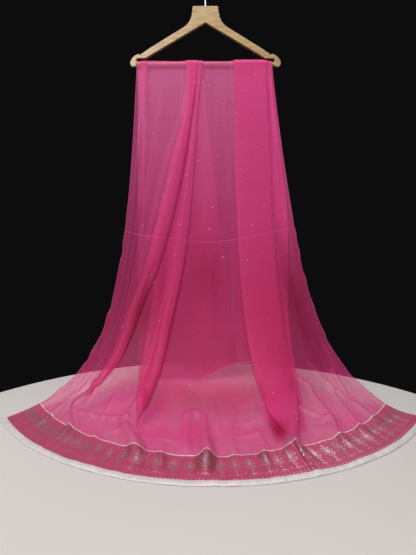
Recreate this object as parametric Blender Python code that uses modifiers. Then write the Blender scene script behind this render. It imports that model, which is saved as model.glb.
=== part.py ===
"""A chiffon dupatta stole draped over the trouser bar of a wooden hanger.

Metres, +Z up.  The origin is the point inside the top of the hook where the hanger hangs, +X is along the bar
to the right, and -Y is the front, where the long fall spreads into a train.

The cloth is worked out as one long rectangle.  A place on it is a share of its cut width, from the left
selvedge to the right one, and a share of its length, from the bar to the hem.  FOLDS says where each fold
line of the width lies at a few levels of the length, and how many layers of cloth are under it there.
"""
import math

import bmesh
import bpy
import numpy as np

# Hanger, measured from the bar's axis
HANGER_THICKNESS = 0.011
BAR_RADIUS = 0.0055
LUG_INNER_X = 0.174
NECK_TOP = 0.1354
WIRE_RADIUS = 0.00175
HOOK_RADIUS = 0.020
EDGE_BEVEL = 0.002
GAP = 0.0003

# Where the hanger hangs, and the floor that the train lies on
HOOK_TAIL_TURN = math.radians(50.0)
BAR_DROP = 0.2254
BAR_HEIGHT = 0.8372
BAR_Z = -BAR_DROP
FLOOR_Z = BAR_Z - BAR_HEIGHT

# Cloth
WALL = 0.001
CUT_WIDTH = 1.125
BORDER_DEPTH = 0.076
BINDING_DEPTH = 0.0150
BACK_BINDING_DEPTH = 0.0040
BINDING_WALL = 0.0016
BRAID_WIDTH = 0.003
ON_BAR_CENTRE_X = -0.003
ON_BAR_HALF_WIDTH = 0.169
ON_BAR_RADIUS = 0.0064
BACK_SPREAD = 1.09
BACK_LEAN = 0.010

# The hem is an arc round a point just behind the bar
HEM_CENTRE_X = 0.018
HEM_CENTRE_Y = 0.1255
HEM_RADIUS = 0.5915
HEM_HALF_ANGLE = math.radians(54.3)
FLAT_RISE = 0.003

# Handles of a thread's curve from the bar to the hem: share of its reach, and of the bar's height
THREAD_CURVES = {
    # name:       reach1 reach2 reach3 height1 height2
    "centre":     (0.000, 0.075, 0.362, 0.400, 0.100),
    "left":       (0.038, 0.192, 0.500, 0.512, 0.175),
    "right":      (0.112, 0.297, 0.583, 0.512, 0.175),
    "left_edge":  (0.084, 0.141, 0.393, 0.523, 0.232),
    "right_edge": (0.145, 0.245, 0.553, 0.520, 0.172),
}

# Shares of the length at which FOLDS gives a fold line's place, and the room for one layer there
LEVELS = (0.0, 0.1, 0.2, 0.4, 0.6, 0.8, 0.915, 1.0)
LAYER_ROOM = (0.00125, 0.0016, 0.0020, 0.0025, 0.0030, 0.0035, 0.0030, 0.0)

# under, over: layers beneath the cloth just before and just after the line, from the left selvedge
# on: how far down the layers are kept, as a share of the length
# lift: height of the ridge that the line makes on the train, in mm
# the rest: place across the fall at each of LEVELS, from -1 at its left edge to 1 at its right edge
FOLDS = (
    # name          under over  on  lift  bar     0.1     0.2    0.4    0.6    0.8    seam   hem
    ("left_edge",      0, 0, 1.00,  0, (-1.00, -1.00, -1.00, -1.00, -1.00, -1.00, -1.00, -1.00)),
    ("narrow_under",   0, 1, 0.20,  0, (-0.86, -0.90, -0.94, -0.95, -0.95, -0.94, -0.93, -0.93)),
    ("narrow_edge",    1, 2, 0.20,  0, (-0.945, -0.92, -0.91, -0.91, -0.91, -0.90, -0.87, -0.86)),
    ("narrow_step",    2, 2, 0.20,  0, (-0.82, -0.87, -0.90, -0.89, -0.89, -0.88, -0.845, -0.83)),
    ("left_rest",      0, 0, 1.00,  0, (-0.38, -0.43, -0.63, -0.79, -0.86, -0.86, -0.78, -0.76)),
    ("left_step",      2, 2, 1.00,  0, (-0.30, -0.36, -0.57, -0.73, -0.82, -0.82, -0.74, -0.72)),
    ("ridge_under",    2, 3, 1.00,  0, (-0.10, -0.21, -0.34, -0.55, -0.71, -0.765, -0.69, -0.67)),
    ("ridge_left",     3, 4, 1.00,  0, (-0.27, -0.33, -0.54, -0.70, -0.79, -0.79, -0.66, -0.63)),
    ("ridge_right",    4, 4, 1.00,  4, (-0.08, -0.19, -0.32, -0.53, -0.69, -0.745, -0.62, -0.58)),
    ("ridge_foot",     2, 2, 1.00,  0, (-0.05, -0.15, -0.27, -0.48, -0.64, -0.69, -0.55, -0.51)),
    ("second_edge",    2, 1, 1.00, 15, (-0.02, -0.085, -0.13, -0.23, -0.36, -0.385, -0.325, -0.315)),
    ("second_under",   1, 0, 1.00,  0, (-0.25, -0.29, -0.34, -0.46, -0.46, -0.44, -0.295, -0.28)),
    ("centre_ridge",   0, 0, 1.00, 18, (0.08, 0.04, 0.02, -0.03, -0.05, -0.05, -0.04, -0.04)),
    ("centre_crease",  0, 0, 1.00,  3, (0.22, 0.20, 0.18, 0.14, 0.11, 0.09, 0.08, 0.08)),
    ("pleat_rest",     0, 0, 1.00,  0, (0.37, 0.365, 0.36, 0.35, 0.30, 0.21, 0.17, 0.16)),
    ("pleat_step",     2, 2, 1.00,  0, (0.42, 0.415, 0.41, 0.40, 0.36, 0.27, 0.21, 0.20)),
    ("pleat_under",    2, 3, 1.00,  0, (0.90, 0.88, 0.86, 0.79, 0.69, 0.47, 0.26, 0.25)),
    ("pleat_left",     3, 4, 1.00,  9, (0.44, 0.435, 0.43, 0.42, 0.39, 0.31, 0.30, 0.295)),
    ("pleat_right",    4, 1, 1.00,  9, (0.94, 0.92, 0.90, 0.83, 0.74, 0.55, 0.36, 0.345)),
    ("pleat_return",   1, 0, 1.00,  0, (0.48, 0.475, 0.47, 0.46, 0.43, 0.40, 0.41, 0.41)),
    ("right_ridge",    0, 0, 1.00,  9, (0.97, 0.96, 0.95, 0.90, 0.83, 0.68, 0.56, 0.55)),
    ("right_crease",   0, 0, 1.00,  7, (0.985, 0.98, 0.975, 0.95, 0.91, 0.80, 0.69, 0.67)),
    ("right_edge",     0, 0, 1.00,  0, (1.00, 1.00, 1.00, 1.00, 1.00, 1.00, 1.00, 1.00)),
)
FOLD_ROUNDING = 0.004
RIDGE_HALF_WIDTH = 0.014
RIDGE_PEAK = 0.90
RIDGE_REACH_UP = 0.075
RIDGE_REACH_DOWN = 0.045
WIDEST_COLUMN = 0.040
FALL_ROWS = (0.0, 0.04, 0.10, 0.20, 0.30, 0.40, 0.48, 0.56, 0.63, 0.69)
TRAIN_ROWS = (0.69, 0.74, 0.79, 0.83, 0.87)
BORDER_ROWS = 3
BAR_ROWS = 8
BACK_ROWS = (0.0, 0.12, 0.3, 0.5, 0.7, 0.86, 1.0)

COLOURS = {
    # name: red, green, blue, roughness, metallic
    "chiffon": (0.72, 0.07, 0.25, 0.6, 0.0),
    "brocade": (0.55, 0.09, 0.20, 0.5, 0.1),
    "silver_braid": (0.72, 0.68, 0.70, 0.3, 0.9),
    "satin": (0.82, 0.80, 0.78, 0.35, 0.0),
    "pale_wood": (0.74, 0.55, 0.36, 0.5, 0.0),
    "steel": (0.70, 0.70, 0.70, 0.25, 1.0),
}


# ---------------------------------------------------------------- scene and materials
def clear_scene():
    for thing in list(bpy.data.objects):
        bpy.data.objects.remove(thing, do_unlink=True)


def make_material(name):
    red, green, blue, roughness, metallic = COLOURS[name]
    material = bpy.data.materials.new(name)
    material.use_nodes = True
    shader = material.node_tree.nodes["Principled BSDF"]
    shader.inputs["Base Color"].default_value = (red, green, blue, 1.0)
    shader.inputs["Roughness"].default_value = roughness
    shader.inputs["Metallic"].default_value = metallic
    return material


def add_object(name, data, collection, material):
    thing = bpy.data.objects.new(name, data)
    collection.objects.link(thing)
    data.materials.append(material)
    return thing


# ---------------------------------------------------------------- the cloth's place in space
def along(levels, values, share):
    """Smooth curve through a value at each level, read at a share of the length."""
    levels = np.asarray(levels)
    values = np.asarray(values, float)
    slopes = np.gradient(values, levels)
    k = int(np.clip(np.searchsorted(levels, share) - 1, 0, len(levels) - 2))
    step = levels[k + 1] - levels[k]
    t = (share - levels[k]) / step
    start = (2 * t ** 3 - 3 * t ** 2 + 1) * values[k] + (t ** 3 - 2 * t ** 2 + t) * step * slopes[k]
    end = (3 * t ** 2 - 2 * t ** 3) * values[k + 1] + (t ** 3 - t ** 2) * step * slopes[k + 1]
    return start + end


def ray(across):
    """Foot on the bar, plan direction, reach, and the curve of reach and height of one thread."""
    foot = np.array([ON_BAR_CENTRE_X + ON_BAR_HALF_WIDTH * across, -ON_BAR_RADIUS])
    angle = HEM_HALF_ANGLE * across
    hem = np.array([HEM_CENTRE_X + HEM_RADIUS * math.sin(angle), HEM_CENTRE_Y - HEM_RADIUS * math.cos(angle)])
    side = across * across
    hand = "left" if across < 0 else "right"
    centre, inner, edge = (np.array(THREAD_CURVES[name]) for name in ("centre", hand, hand + "_edge"))
    handles = centre + (inner - centre) * side + (edge - inner) * side ** 3
    t = np.linspace(0.0, 1.0, 61)
    first, second, third = 4 * (1 - t) ** 3 * t, 6 * (1 - t) ** 2 * t ** 2, 4 * (1 - t) * t ** 3
    reach = first * handles[0] + second * handles[1] + third * handles[2] + t ** 4
    height = (1 - t) ** 4 + first * handles[3] + second * handles[4]
    plan = hem - foot
    length = float(np.hypot(*plan))
    pressed = FLAT_RISE * (1.0 - side)
    height = np.maximum(0.0, height * BAR_HEIGHT - pressed) * BAR_HEIGHT / (BAR_HEIGHT - pressed)
    return foot, plan / length, reach * length, height


def front_point(across, share, depth):
    """A point of the front fall: depth is measured out of the cloth, to the front and upwards."""
    foot, plan, reach, height = ray(across)
    run = np.concatenate([[0.0], np.cumsum(np.hypot(np.diff(reach), np.diff(height)))])
    place = share * run[-1]
    out = np.interp(place, run, reach)
    up = np.interp(place, run, height)
    step = 0.004
    rise = np.interp(place + step, run, height) - np.interp(place - step, run, height)
    forward = np.interp(place + step, run, reach) - np.interp(place - step, run, reach)
    size = max(math.hypot(rise, forward), 1e-9)
    turn = min(1.0, share / 0.3)
    facing = plan * turn + np.array([0.0, -1.0]) * (1.0 - turn)
    facing = facing / np.hypot(*facing)
    flat = foot + plan * out + facing * (-rise / size) * depth
    return (flat[0], flat[1], FLOOR_Z + up + (forward / size) * depth)


def bar_point(across, share, depth):
    """A point of the stretch over the bar, from the front, share 0, to the back, share 1."""
    angle = math.pi * share
    radius = ON_BAR_RADIUS + depth
    x = ON_BAR_CENTRE_X + ON_BAR_HALF_WIDTH * across
    return (x, -radius * math.cos(angle), BAR_Z + radius * math.sin(angle))


def back_hem_height(across):
    """The back hem just clears the floor on the left and rises to the right."""
    rise = 1.0 / (1.0 + math.exp(-8.0 * (across - 0.20)))
    return 0.004 + 0.048 * rise


def back_point(across, share, depth):
    """A point of the back fall, which hangs straight down from the bar."""
    drop = (BAR_HEIGHT - back_hem_height(across)) * share
    x = ON_BAR_CENTRE_X + ON_BAR_HALF_WIDTH * across * (1.0 + (BACK_SPREAD - 1.0) * share)
    y = ON_BAR_RADIUS + depth + BACK_LEAN * share ** 2
    return (x, y, BAR_Z - drop)


# ---------------------------------------------------------------- columns across the cut width
def cut_place(fold):
    """Distance of a fold line from the left selvedge: the cloth lies fully spread at the hem."""
    return (fold[5][-1] + 1.0) / 2.0 * CUT_WIDTH


def column_places(fine):
    """Distances from the left selvedge at which the cloth has a column of points."""
    places = []
    for fold in FOLDS:
        here = cut_place(fold)
        if fold[1] != fold[2]:
            places += [here - FOLD_ROUNDING, here, here + FOLD_ROUNDING]
        else:
            places.append(here)
        if fine and fold[4] > 10:
            places += [here - RIDGE_HALF_WIDTH, here + RIDGE_HALF_WIDTH]
    places = sorted(places)
    kept = [places[0]]
    for place in places[1:]:
        if place - kept[-1] < 0.0015:
            continue
        pieces = max(1, math.ceil((place - kept[-1]) / WIDEST_COLUMN)) if fine else 1
        start = kept[-1]
        kept += [start + (place - start) * k / pieces for k in range(1, pieces + 1)]
    return kept


def across_and_layers(place, share):
    """Where a column lies across the fall, and how many layers are under it, at a share of the length."""
    marks = [cut_place(fold) for fold in FOLDS]
    k = int(np.clip(np.searchsorted(marks, place + 1e-9) - 1, 0, len(FOLDS) - 2))
    before, after = FOLDS[k], FOLDS[k + 1]
    t = (place - marks[k]) / (marks[k + 1] - marks[k])
    left, right = along(LEVELS, before[5], share), along(LEVELS, after[5], share)
    layers = kept_layers(before, before[2], share) * (1 - t) + kept_layers(after, after[1], share) * t
    on_line = [f for f, mark in zip(FOLDS, marks) if abs(place - mark) < 1e-9 and f[1] != f[2]]
    if on_line:
        fold = on_line[0]
        layers = kept_layers(fold, (fold[1] + fold[2]) / 2.0, share)
    return left + (right - left) * t, layers


def kept_layers(fold, layers, share):
    """Layers under a fold line, fading out where the fold has opened."""
    if fold[3] >= 1.0:
        return layers
    return layers * float(np.clip((1.25 * fold[3] - share) / (0.5 * fold[3]), 0.0, 1.0))


def ridge_height(place, share):
    """Height of the train's ridges over the floor."""
    reach = RIDGE_REACH_UP if share < RIDGE_PEAK else RIDGE_REACH_DOWN
    fade = math.exp(-((share - RIDGE_PEAK) / reach) ** 2) * min(1.0, (1.0 - share) / 0.03)
    total = 0.0
    for fold in FOLDS:
        if fold[4]:
            total += fold[4] / 1000.0 * math.exp(-((place - cut_place(fold)) / RIDGE_HALF_WIDTH) ** 2)
    return total * fade


def front_depth(place, layers, share):
    room = float(np.interp(share, LEVELS, LAYER_ROOM))
    return layers * room + ridge_height(place, share)


def length_of(across):
    """Length of a thread from the bar to the hem."""
    _, _, reach, height = ray(across)
    return float(np.sum(np.hypot(np.diff(reach), np.diff(height))))


# ---------------------------------------------------------------- meshes
def grid_mesh(name, rows):
    """An open surface through rows of points."""
    mesh = bpy.data.meshes.new(name)
    count = len(rows[0])
    points = [point for row in rows for point in row]
    faces = []
    for r in range(len(rows) - 1):
        for c in range(count - 1):
            first = r * count + c
            faces.append((first, first + 1, first + count + 1, first + count))
    mesh.from_pydata(points, [], faces)
    mesh.update()
    return mesh


def add_sheet(name, rows, wall, collection, material):
    """A cloth wall: the rows give its middle surface, and Solidify gives its thickness."""
    thing = add_object(name, grid_mesh(name, rows), collection, material)
    solid = thing.modifiers.new("wall", "SOLIDIFY")
    solid.thickness = wall
    solid.offset = 0.0
    return thing


def front_row(places, share_of, extra_depth):
    """One row of the front fall. share_of turns a place across the fall into a share of the length."""
    row = []
    for place in places:
        across, _ = across_and_layers(place, 0.5)
        share = share_of(place, across)
        across, layers = across_and_layers(place, share)
        row.append(front_point(across, share, front_depth(place, layers, share) + extra_depth))
    return row


def share_from_hem(distance):
    """Share of the length at a distance up from the hem, for each thread."""
    def share_of(place, across):
        spread = 2.0 * place / CUT_WIDTH - 1.0
        return 1.0 - distance / length_of(spread)
    return share_of


def build_front_field(collection, material):
    """The front stretch of the field: one node hangs down to the floor, the next is the train that lies on it."""
    places = column_places(fine=True)
    seam = share_from_hem(BORDER_DEPTH + BINDING_DEPTH + GAP)
    rows = [front_row(places, lambda p, a, s=s: s + GAP, WALL / 2) for s in FALL_ROWS]
    add_sheet("field_front", rows, WALL, collection, material)
    rows = [front_row(places, lambda p, a, s=s: s + 2 * GAP, WALL / 2) for s in TRAIN_ROWS]
    rows.append(front_row(places, seam, WALL / 2))
    return add_sheet("field_train", rows, WALL, collection, material)


def build_border(collection, material):
    places = column_places(fine=True)
    rows = []
    for k in range(BORDER_ROWS + 1):
        distance = BINDING_DEPTH + GAP + (BORDER_DEPTH - BRAID_WIDTH - 2 * GAP) * (1 - k / BORDER_ROWS)
        rows.append(front_row(places, share_from_hem(distance), WALL / 2))
    return add_sheet("border_front", rows, WALL, collection, material)


def build_braid(collection, material):
    """A narrow silver braid along the seam between the field and the border."""
    places = column_places(fine=True)
    top = BORDER_DEPTH + BINDING_DEPTH
    rows = [front_row(places, share_from_hem(d), WALL / 2) for d in (top, top - BRAID_WIDTH)]
    return add_sheet("border_braid", rows, WALL, collection, material)


def build_binding(collection, material):
    places = column_places(fine=True)
    rows = [front_row(places, share_from_hem(d), BINDING_WALL / 2) for d in (BINDING_DEPTH - GAP, 0.0)]
    return add_sheet("hem_binding_front", rows, BINDING_WALL, collection, material)


def bar_depth(layers):
    return layers * LAYER_ROOM[0]


def build_over_bar(collection, material):
    places = column_places(fine=False)
    edge = GAP / (math.pi * ON_BAR_RADIUS)
    rows = []
    for k in range(BAR_ROWS + 1):
        share = edge + (1 - 2 * edge) * k / BAR_ROWS
        row = []
        for place in places:
            across, layers = across_and_layers(place, 0.0)
            row.append(bar_point(across, share, bar_depth(layers)))
        rows.append(row)
    rows.reverse()
    return add_sheet("field_over_bar", rows, WALL, collection, material)


def back_row(places, share, extra_drop):
    room = LAYER_ROOM[0] * (1.0 + share)
    row = []
    for place in places:
        across, layers = across_and_layers(place, 0.0)
        x, y, z = back_point(across, share, layers * room)
        row.append((x, y, z - extra_drop))
    return row


def build_back_field(collection, material):
    places = column_places(fine=False)
    top = GAP / BAR_HEIGHT
    bottom = 1.0 - (BACK_BINDING_DEPTH + 2 * GAP) / BAR_HEIGHT
    rows = [back_row(places, top + (bottom - top) * s, 0.0) for s in BACK_ROWS]
    rows.reverse()
    return add_sheet("field_back", rows, WALL, collection, material)


def build_back_binding(collection, material):
    places = column_places(fine=False)
    top = 1.0 - BACK_BINDING_DEPTH / BAR_HEIGHT
    rows = [back_row(places, s, 0.0) for s in (1.0, top)]
    return add_sheet("hem_binding_back", rows, WALL, collection, material)


# ---------------------------------------------------------------- hanger
def arc_points(centre, radius, start, end, count):
    angles = [math.radians(start + (end - start) * k / count) for k in range(count + 1)]
    return [(centre[0] + radius * math.cos(a), centre[1] + radius * math.sin(a)) for a in angles]


def bezier_points(start, handle, end, count):
    points = []
    for k in range(count + 1):
        t = k / count
        points.append(tuple((1 - t) ** 2 * s + 2 * (1 - t) * t * h + t * t * e
                            for s, h, e in zip(start, handle, end)))
    return points


def hanger_outline():
    """Right half of the hanger's outline, x and height over the bar's axis, from the inner V upwards."""
    points = [(0.0, 0.0970), (0.151, 0.0125), (LUG_INNER_X - 0.003, 0.0125)]
    points += [(LUG_INNER_X, 0.0095), (LUG_INNER_X, -0.0066)]
    points += arc_points((0.1816, 0.0004), 0.0080, -118, 10, 5)
    points += bezier_points((0.1895, 0.0030), (0.186, 0.0170), (0.172, 0.0222), 4)
    points += [(0.1665, 0.0240), (0.1655, 0.0205), (0.1600, 0.0240), (0.142, 0.0360)]
    points += bezier_points((0.056, 0.0855), (0.0370, 0.0965), (0.0338, 0.1165), 5)
    points += [(0.0310, NECK_TOP)]
    return points


def build_hanger_body(collection, material):
    right = hanger_outline()
    left = [(-x, z) for x, z in reversed(right) if x > 0.0]
    mesh = bpy.data.meshes.new("hanger_body")
    shape = bmesh.new()
    corners = [shape.verts.new((x, -HANGER_THICKNESS / 2, BAR_Z + z)) for x, z in right + left]
    face = shape.faces.new(corners)
    grown = bmesh.ops.extrude_face_region(shape, geom=[face])
    moved = [item for item in grown["geom"] if isinstance(item, bmesh.types.BMVert)]
    bmesh.ops.translate(shape, verts=moved, vec=(0.0, HANGER_THICKNESS, 0.0))
    bmesh.ops.recalc_face_normals(shape, faces=shape.faces)
    shape.to_mesh(mesh)
    shape.free()
    body = add_object("hanger_body", mesh, collection, material)
    bevel = body.modifiers.new("rounded_edges", "BEVEL")
    bevel.width = EDGE_BEVEL
    bevel.segments = 2
    bevel.limit_method = "ANGLE"
    bevel.angle_limit = math.radians(60.0)
    return body


def build_bar(collection, material):
    length = 2.0 * (LUG_INNER_X - GAP)
    bpy.ops.mesh.primitive_cylinder_add(vertices=24, radius=BAR_RADIUS, depth=length)
    bar = bpy.context.active_object
    bar.name = "hanger_bar"
    bar.location = (0.0, 0.0, BAR_Z)
    bar.rotation_euler = (0.0, math.pi / 2, 0.0)
    for owner in list(bar.users_collection):
        owner.objects.unlink(bar)
    collection.objects.link(bar)
    bar.data.materials.append(material)
    bar.data.shade_smooth()
    return bar


def hook_route():
    """The wire's middle line: open end, over the top, and back under it into the stem."""
    radius = HOOK_RADIUS + WIRE_RADIUS
    centre = (0.0, -HOOK_RADIUS)
    over = arc_points(centre, radius, 205.0, -math.degrees(HOOK_TAIL_TURN), 22)
    heading = -HOOK_TAIL_TURN - math.pi / 2
    back_radius = over[-1][0] / (1.0 - math.cos(HOOK_TAIL_TURN))
    back_centre = (over[-1][0] - math.sin(heading) * back_radius, over[-1][1] + math.cos(heading) * back_radius)
    start = 180.0 - math.degrees(HOOK_TAIL_TURN)
    back = arc_points(back_centre, back_radius, start, 180.0, 7)
    foot = (0.0, BAR_Z + NECK_TOP + GAP)
    return over + back[1:] + [foot]


def build_hook(collection, material):
    curve = bpy.data.curves.new("hanger_hook", "CURVE")
    curve.dimensions = "3D"
    curve.bevel_depth = WIRE_RADIUS
    curve.bevel_resolution = 2
    curve.use_fill_caps = True
    points = hook_route()
    spline = curve.splines.new("POLY")
    spline.points.add(len(points) - 1)
    for slot, (x, z) in zip(spline.points, points):
        slot.co = (x, 0.0, z, 1.0)
    return add_object("hanger_hook", curve, collection, material)


def main():
    clear_scene()
    collection = bpy.data.collections.new("dupatta_stole")
    bpy.context.scene.collection.children.link(collection)
    materials = {name: make_material(name) for name in COLOURS}
    build_hanger_body(collection, materials["pale_wood"])
    build_bar(collection, materials["pale_wood"])
    build_hook(collection, materials["steel"])
    build_front_field(collection, materials["chiffon"])
    build_over_bar(collection, materials["chiffon"])
    build_back_field(collection, materials["chiffon"])
    build_border(collection, materials["brocade"])
    build_braid(collection, materials["silver_braid"])
    build_binding(collection, materials["satin"])
    build_back_binding(collection, materials["satin"])


main()
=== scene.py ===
import math

import bpy
import numpy as np
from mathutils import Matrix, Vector


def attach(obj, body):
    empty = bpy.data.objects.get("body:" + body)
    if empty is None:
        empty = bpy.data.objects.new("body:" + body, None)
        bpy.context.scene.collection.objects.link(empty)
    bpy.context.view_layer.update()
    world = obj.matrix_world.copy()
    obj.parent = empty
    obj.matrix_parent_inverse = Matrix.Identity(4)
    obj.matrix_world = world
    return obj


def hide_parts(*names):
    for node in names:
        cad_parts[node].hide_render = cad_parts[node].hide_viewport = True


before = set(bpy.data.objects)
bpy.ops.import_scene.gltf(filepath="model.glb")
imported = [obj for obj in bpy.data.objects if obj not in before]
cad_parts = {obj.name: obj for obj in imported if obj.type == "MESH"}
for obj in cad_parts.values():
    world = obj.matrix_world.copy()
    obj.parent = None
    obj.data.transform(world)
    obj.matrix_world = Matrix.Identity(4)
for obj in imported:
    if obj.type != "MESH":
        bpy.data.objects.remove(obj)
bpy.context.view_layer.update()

# ---------------------------------------------------------------- sizes, as in the CAD
BAR_Z = -0.2254
BAR_HEIGHT = 0.8372
FLOOR_Z = BAR_Z - BAR_HEIGHT
CUT_WIDTH = 1.125
BORDER_DEPTH = 0.076
BINDING_DEPTH = 0.0150
BACK_BINDING_DEPTH = 0.0040
ON_BAR_CENTRE_X = -0.003
ON_BAR_HALF_WIDTH = 0.169
ON_BAR_RADIUS = 0.0064
BACK_SPREAD = 1.09
BACK_LEAN = 0.010
HEM_CENTRE = (0.018, 0.1255)
HEM_RADIUS = 0.5915
HEM_HALF_ANGLE = math.radians(54.3)
FLAT_RISE = 0.003
UNDERSIDE = 0.0004
SEAM = BORDER_DEPTH + BINDING_DEPTH      # metres up from the hem
BACK_END = 1.0 - BACK_BINDING_DEPTH / BAR_HEIGHT
OVER_BAR_LENGTH = 0.021

# ---------------------------------------------------------------- how fine the meshes are
COLUMN_STEP = 0.0046
COLUMN_GAP = 0.0002
FRONT_ROWS = ((0.0, 0.76, 64), (0.76, 1.0, 80), (0.425, 0.465, 24), (0.188, 0.208, 9), (0.652, 0.698, 9))
BORDER_ROWS = 26
OVER_BAR_ROWS = 25
BACK_ROWS = 120
ROLL_ROWS = 261

# ---------------------------------------------------------------- trimmings
BRAID_LIFT = 0.0005
ROLL_RADIUS = 0.0006
FLOWERS = 38
DASHES = 150
MOTIF_LIFT = 0.00025
BEAD_RADIUS = 0.0020
BEAD_LIFT = 0.0009

# ---------------------------------------------------------------- the cloth's folds

THREAD_CURVES = {
    # name:       reach1 reach2 reach3 height1 height2
    "centre":     (0.000, 0.075, 0.362, 0.400, 0.100),
    "left":       (0.038, 0.192, 0.500, 0.512, 0.175),
    "right":      (0.112, 0.297, 0.583, 0.512, 0.175),
    "left_edge":  (0.084, 0.141, 0.393, 0.523, 0.232),
    "right_edge": (0.145, 0.245, 0.553, 0.520, 0.172),
}

LEVELS = (0.0, 0.1, 0.2, 0.4, 0.6, 0.8, 0.86, 0.915, 1.0)
HALF_WIDTHS = (0.169, 0.172, 0.178, 0.200, 0.245, 0.39, 0.45, 0.50, 0.5625)
LAYER_ROOM = (0.00042, 0.00052, 0.00065, 0.0009, 0.0012, 0.0013, 0.0009, 0.0008, 0.0)
# Fold lines in the order of the cut, from the left selvedge. under, over: layers beneath the cloth just
# before and after the line. on: share of the length to which the layers are kept. The rest: its place
# across the fall at each of LEVELS, -1 at the left edge and 1 at the right.
FOLDS = (
    # name          under over  on   bar     0.1     0.2    0.4    0.6    0.8    0.86   seam   hem
    ("left_edge",      0, 0, 1.00, (-1.00, -1.00, -1.00, -1.00, -1.00, -1.00, -1.00, -1.00, -1.00)),
    ("narrow_under",   0, 1, 0.18, (-0.86, -0.90, -0.94, -0.95, -0.95, -0.94, -0.934, -0.93, -0.93)),
    ("narrow_edge",    1, 2, 0.18, (-0.945, -0.92, -0.91, -0.91, -0.91, -0.90, -0.884, -0.87, -0.86)),
    ("narrow_step",    2, 2, 0.18, (-0.82, -0.87, -0.90, -0.89, -0.89, -0.88, -0.862, -0.845, -0.83)),
    ("left_rest",      0, 0, 1.00, (-0.38, -0.39, -0.56, -0.765, -0.86, -0.86, -0.85, -0.78, -0.76)),
    ("left_step",      2, 2, 1.00, (-0.30, -0.32, -0.50, -0.70, -0.82, -0.82, -0.835, -0.74, -0.72)),
    ("ridge_under",    2, 3, 1.00, (-0.10, -0.185, -0.28, -0.495, -0.69, -0.755, -0.805, -0.69, -0.67)),
    ("ridge_left",     3, 6, 1.00, (-0.27, -0.29, -0.465, -0.67, -0.79, -0.79, -0.80, -0.66, -0.63)),
    ("valley",         6, 5, 1.00, (-0.09, -0.17, -0.265, -0.48, -0.67, -0.735, -0.775, -0.62, -0.59)),
    ("ridge_back",     5, 4, 1.00, (-0.24, -0.255, -0.40, -0.615, -0.755, -0.76, -0.765, -0.60, -0.565)),
    ("second_edge",    4, 1, 1.00, (-0.02, -0.085, -0.13, -0.23, -0.36, -0.365, -0.365, -0.265, -0.255)),
    ("second_under",   1, 0, 1.00, (-0.21, -0.23, -0.37, -0.58, -0.60, -0.455, -0.36, -0.272, -0.225)),
    ("centre_ridge",   0, 0, 1.00, (0.08, 0.04, 0.02, -0.03, -0.05, -0.05, -0.044, -0.04, -0.04)),
    ("centre_crease",  0, 0, 1.00, (0.22, 0.20, 0.18, 0.14, 0.11, 0.09, 0.084, 0.08, 0.08)),
    ("pleat_rest",     0, 0, 1.00, (0.37, 0.365, 0.36, 0.35, 0.30, 0.21, 0.187, 0.17, 0.16)),
    ("pleat_step",     4, 4, 1.00, (0.42, 0.415, 0.41, 0.40, 0.36, 0.27, 0.236, 0.21, 0.20)),
    ("pleat_under",    4, 5, 1.00, (0.90, 0.88, 0.86, 0.79, 0.69, 0.47, 0.349, 0.26, 0.25)),
    ("pleat_inner",    5, 6, 1.00, (0.46, 0.455, 0.45, 0.44, 0.42, 0.335, 0.301, 0.275, 0.265)),
    ("pleat_second",   6, 7, 1.00, (0.905, 0.885, 0.865, 0.80, 0.70, 0.485, 0.373, 0.29, 0.28)),
    ("pleat_left",     7, 8, 1.00, (0.44, 0.435, 0.43, 0.42, 0.39, 0.335, 0.329, 0.325, 0.32)),
    ("pleat_right",    8, 3, 1.00, (0.94, 0.92, 0.90, 0.83, 0.74, 0.55, 0.438, 0.355, 0.345)),
    ("pleat_return",   3, 2, 1.00, (0.48, 0.475, 0.47, 0.46, 0.43, 0.40, 0.383, 0.37, 0.37)),
    ("pleat_third",    2, 1, 1.00, (0.985, 0.985, 0.985, 0.96, 0.80, 0.58, 0.48, 0.41, 0.41)),
    ("pleat_last",     1, 0, 1.00, (0.475, 0.47, 0.465, 0.455, 0.43, 0.43, 0.455, 0.475, 0.47)),
    ("right_ridge",    0, 0, 1.00, (0.97, 0.96, 0.95, 0.90, 0.83, 0.68, 0.611, 0.56, 0.55)),
    ("right_crease",   0, 0, 1.00, (0.985, 0.98, 0.975, 0.95, 0.91, 0.80, 0.738, 0.69, 0.67)),
    ("right_edge",     0, 0, 1.00, (1.00, 1.00, 1.00, 1.00, 1.00, 1.00, 1.00, 1.00, 1.00)),
)
MARKS = np.array([(fold[4][-1] + 1.0) / 2.0 * CUT_WIDTH for fold in FOLDS])
UNDER = np.array([fold[1] for fold in FOLDS], float)
OVER = np.array([fold[2] for fold in FOLDS], float)
KEPT = np.array([fold[3] for fold in FOLDS])
FOLD_ROUNDING = 0.0035

# Ridges that stand on the train: place across at the hem, share of the length at the crest, height in mm,
# half width in mm, and how far the ridge runs up towards the bar and down towards the hem
RIDGES = (
    # across crest height width  up     down
    (-0.305, 0.900, 14, 15, 0.060, 0.050),
    (-0.030, 0.905, 18, 14, 0.050, 0.052),
    (0.332,  0.900, 12, 22, 0.060, 0.050),
    (0.560,  0.895, 10, 13, 0.060, 0.045),
    (0.680,  0.890, 10, 13, 0.080, 0.045),
    (-0.640, 0.895, 10, 14, 0.060, 0.040),
    (0.080,  0.900,  4,  9, 0.050, 0.040),
    (-0.480, 0.900,  4,  9, 0.045, 0.040),
    (0.190,  0.915,  4,  8, 0.040, 0.040),
    (-0.180, 0.915,  4,  8, 0.035, 0.040),
    (0.810,  0.900,  6, 11, 0.050, 0.040),
    (-0.830, 0.905,  6, 11, 0.050, 0.040),
)

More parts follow.
